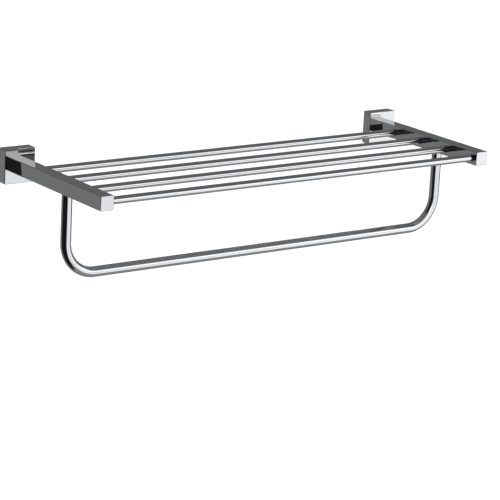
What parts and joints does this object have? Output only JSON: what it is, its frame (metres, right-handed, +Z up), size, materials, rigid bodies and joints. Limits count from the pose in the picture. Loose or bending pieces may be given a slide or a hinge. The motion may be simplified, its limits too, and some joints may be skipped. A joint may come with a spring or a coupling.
{
  "type": "towel rack",
  "caption": "Chrome wall-mounted towel rack: an open shelf of round rods between two square arms, over a U-shaped hanging bar.",
  "frame": {"origin": "middle of the left wall bracket's back face, on the wall's surface", "axes": "+X right along the wall, +Y into the wall, +Z up"},
  "size_m": [0.612, 0.2602, 0.133],
  "materials": {
    "chrome": "mirror-polished chrome plate",
    "plated_steel": "bright zinc plate, satin",
    "dark_steel": "black oxide, satin",
    "nylon": "grey moulded nylon"
  },
  "bodies": {
    "root": {"left_wall_cover": "chrome", "left_wall_bracket": "plated_steel", "left_cover_set_screw": "dark_steel", "left_arm": "chrome", "left_arm_threaded_block": "plated_steel", "left_wall_screw_upper": "plated_steel", "left_wall_screw_lower": "plated_steel", "left_wall_plug_upper": "nylon", "left_wall_plug_lower": "nylon", "left_arm_washer_upper": "plated_steel", "left_arm_washer_lower": "plated_steel", "left_arm_screw_upper": "dark_steel", "left_arm_screw_lower": "dark_steel", "right_wall_cover": "chrome", "right_wall_bracket": "plated_steel", "right_cover_set_screw": "dark_steel", "right_arm": "chrome", "right_arm_threaded_block": "plated_steel", "right_wall_screw_upper": "plated_steel", "right_wall_screw_lower": "plated_steel", "right_wall_plug_upper": "nylon", "right_wall_plug_lower": "nylon", "right_arm_washer_upper": "plated_steel", "right_arm_washer_lower": "plated_steel", "right_arm_screw_upper": "dark_steel", "right_arm_screw_lower": "dark_steel", "shelf_rod_1": "chrome", "shelf_rod_2": "chrome", "shelf_rod_3": "chrome", "shelf_rod_4": "chrome", "towel_bar": "chrome"}
  },
  "joints": []
}
